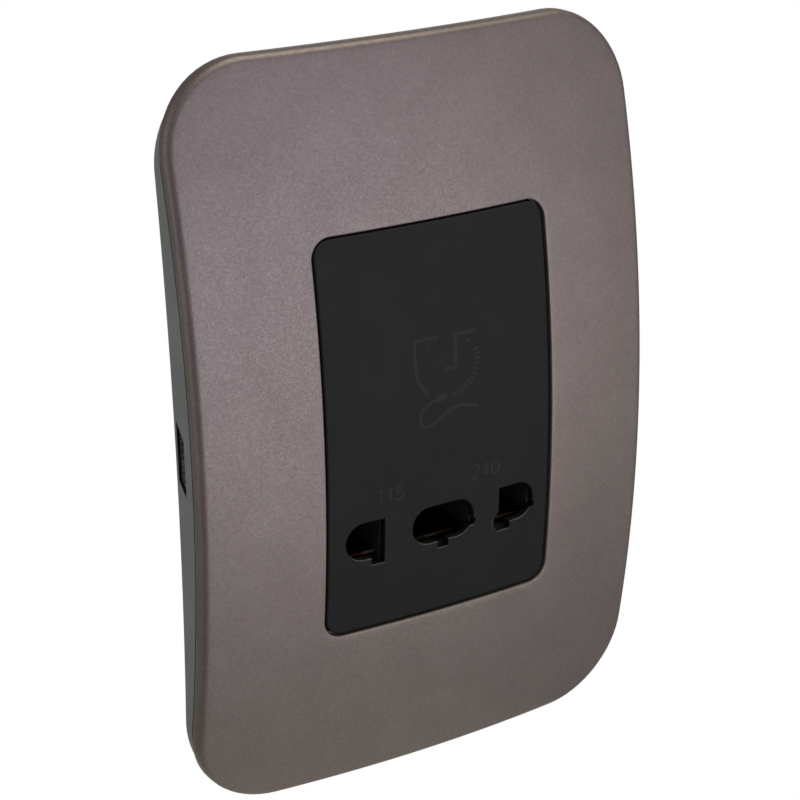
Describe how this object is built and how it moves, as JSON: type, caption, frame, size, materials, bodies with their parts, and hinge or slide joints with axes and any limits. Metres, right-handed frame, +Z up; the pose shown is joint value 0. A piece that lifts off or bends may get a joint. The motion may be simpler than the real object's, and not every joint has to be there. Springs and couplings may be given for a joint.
{
  "type": "shaver socket",
  "caption": "Wall-mounted dual-voltage shaver socket: arched metal plate on a plastic frame, dark socket module with an isolating transformer behind.",
  "frame": {"origin": "on the wall plane behind the plate, midway between the two box screw holes", "axes": "+X to the viewer's right, +Y into the wall, +Z up; the front faces -Y"},
  "size_m": [0.088, 0.0569, 0.1284],
  "materials": {
    "cover_metal": "satin metallic taupe",
    "frame_plastic": "grey-green moulded",
    "front_plastic": "satin charcoal moulded",
    "housing_plastic": "dark grey moulded",
    "carrier_plastic": "black moulded",
    "contact_bronze": "rolled phosphor bronze",
    "screw_steel": "zinc plated",
    "core_steel": "varnished laminations",
    "bracket_steel": "zinc plated sheet",
    "bobbin_plastic": "natural nylon",
    "winding_copper": "enamelled copper wire",
    "tape_film": "polyester tape",
    "terminal_brass": "machined brass",
    "cutout_plastic": "black phenolic",
    "block_plastic": "moulded",
    "primary_insulation": "PVC",
    "secondary_insulation": "PVC",
    "label_film": "silvered film"
  },
  "bodies": {
    "root": {"cover_plate": "cover_metal", "base_frame": "frame_plastic", "socket_front": "front_plastic", "rear_housing": "housing_plastic", "housing_screws": "screw_steel", "contact_carrier": "carrier_plastic", "contact_left": "contact_bronze", "contact_middle": "contact_bronze", "contact_right": "contact_bronze", "core_e_stack": "core_steel", "core_i_stack": "core_steel", "core_bracket": "bracket_steel", "transformer_bobbin": "bobbin_plastic", "primary_winding": "winding_copper", "secondary_winding": "winding_copper", "winding_tape": "tape_film", "bobbin_pins": "terminal_brass", "thermal_cutout": "cutout_plastic", "terminal_block": "block_plastic", "terminal_clamps": "terminal_brass", "terminal_screws": "screw_steel", "earth_strap": "terminal_brass", "primary_leads": "primary_insulation", "secondary_leads": "secondary_insulation", "rating_label": "label_film"}
  },
  "joints": []
}
